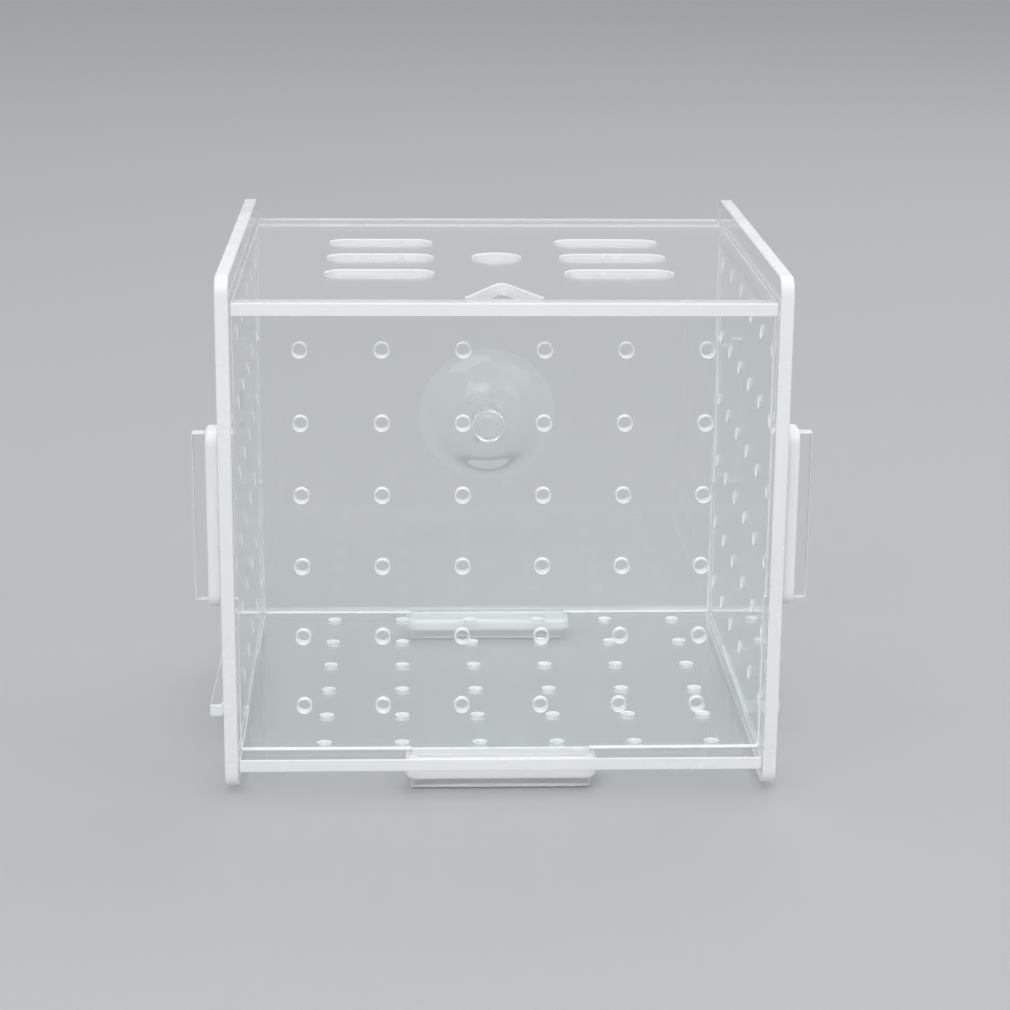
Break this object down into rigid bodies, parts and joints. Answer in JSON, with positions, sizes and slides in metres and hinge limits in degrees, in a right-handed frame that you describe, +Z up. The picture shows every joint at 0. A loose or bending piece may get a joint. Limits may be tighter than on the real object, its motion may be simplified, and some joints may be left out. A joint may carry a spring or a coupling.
{
  "type": "fish breeding box",
  "caption": "Clear acrylic aquarium nursery box with pierced walls and floor, loose slotted lid, rubber rings locking its tabs, and a rear suction cup.",
  "frame": {"origin": "middle of the bounding box at its lowest plane, which is the plane of the foot tabs' ends", "axes": "+Z up, +X to the right seen from the front, +Y back towards the suction cup; the pierced front plate faces -Y"},
  "size_m": [0.138, 0.1186, 0.1201],
  "materials": {
    "clear_acrylic": "polished clear sheet with laser-cut edges",
    "white_rubber": "matt white silicone rubber",
    "clear_vinyl": "clear soft vinyl, slightly milky"
  },
  "bodies": {
    "box": {"front_panel": "clear_acrylic", "back_panel": "clear_acrylic", "bottom_panel": "clear_acrylic", "left_side_panel": "clear_acrylic", "right_side_panel": "clear_acrylic", "left_ring": "white_rubber", "right_ring": "white_rubber", "front_ring": "white_rubber", "rear_ring": "white_rubber"},
    "lid": {"lid": "clear_acrylic"},
    "suction_cup": {"suction_cup": "clear_vinyl"}
  },
  "joints": [
    {"name": "lid_lift", "type": "slide", "parent": "box", "child": "lid", "axis": [0, 0, 1], "range_m": [0, 0.04]},
    {"name": "suction_cup_turn", "type": "hinge", "parent": "box", "child": "suction_cup", "pos_m": [0, 0.04675, 0.0615], "axis": [0, 1, 0], "continuous": true}
  ]
}
